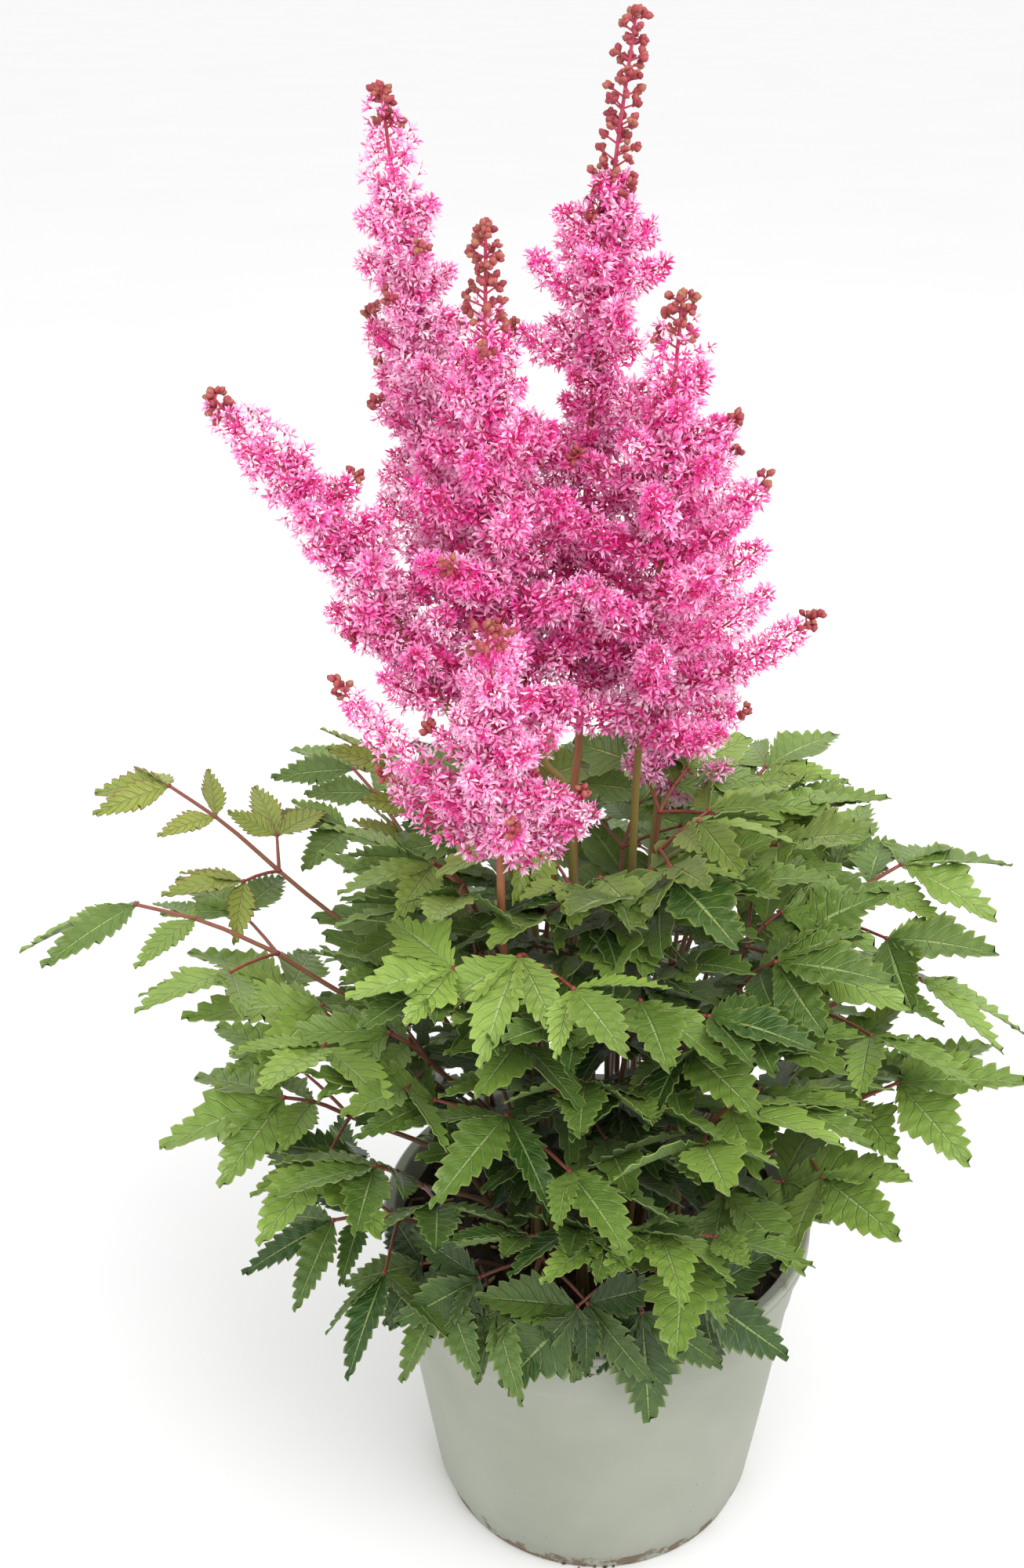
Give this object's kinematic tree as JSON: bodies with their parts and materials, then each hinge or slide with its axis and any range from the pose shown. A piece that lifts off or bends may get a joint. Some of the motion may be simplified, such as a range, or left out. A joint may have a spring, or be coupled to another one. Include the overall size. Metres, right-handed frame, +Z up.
{
  "type": "potted astilbe plant",
  "caption": "Flowering perennial in a round nursery pot: upright feathery plumes of small florets over a mound of cut, toothed compound leaves.",
  "frame": {"origin": "middle of the pot's flat underside, on the floor", "axes": "+Z up along the pot's axis; -Y towards the viewer of the picture, +X to the picture's right"},
  "size_m": [0.4168, 0.3074, 0.637],
  "materials": {
    "pot_plastic": "matte, grey-green",
    "peat": "dark, crumbly",
    "florets": "soft, matte pink",
    "leaf": "satin, mid green",
    "young_leaf": "satin, yellow-green"
  },
  "bodies": {
    "root": {"pot": "pot_plastic", "soil": "peat", "plume_tall_right": "florets", "plume_tall_left": "florets", "plume_centre": "florets", "plume_front": "florets", "plume_right": "florets", "plume_left": "florets", "plume_left_mid": "florets", "plume_back": "florets", "leaf_01": "leaf", "leaf_02": "young_leaf", "leaf_03": "leaf", "leaf_04": "young_leaf", "leaf_05": "leaf", "leaf_06": "leaf", "leaf_07": "leaf", "leaf_08": "leaf", "leaf_09": "leaf", "leaf_10": "leaf", "leaf_11": "leaf", "leaf_12": "leaf", "leaf_13": "leaf", "leaf_14": "leaf", "leaf_15": "leaf", "leaf_16": "leaf", "leaf_17": "leaf", "leaf_18": "leaf", "leaf_19": "leaf", "leaf_20": "leaf", "leaf_21": "leaf", "leaf_22": "leaf", "leaf_23": "leaf", "leaf_24": "leaf", "leaf_25": "leaf", "leaf_26": "leaf", "leaf_27": "leaf", "leaf_28": "leaf", "leaf_29": "leaf", "leaf_30": "leaf", "leaf_31": "leaf", "leaf_32": "leaf", "leaf_33": "leaf"}
  },
  "joints": []
}
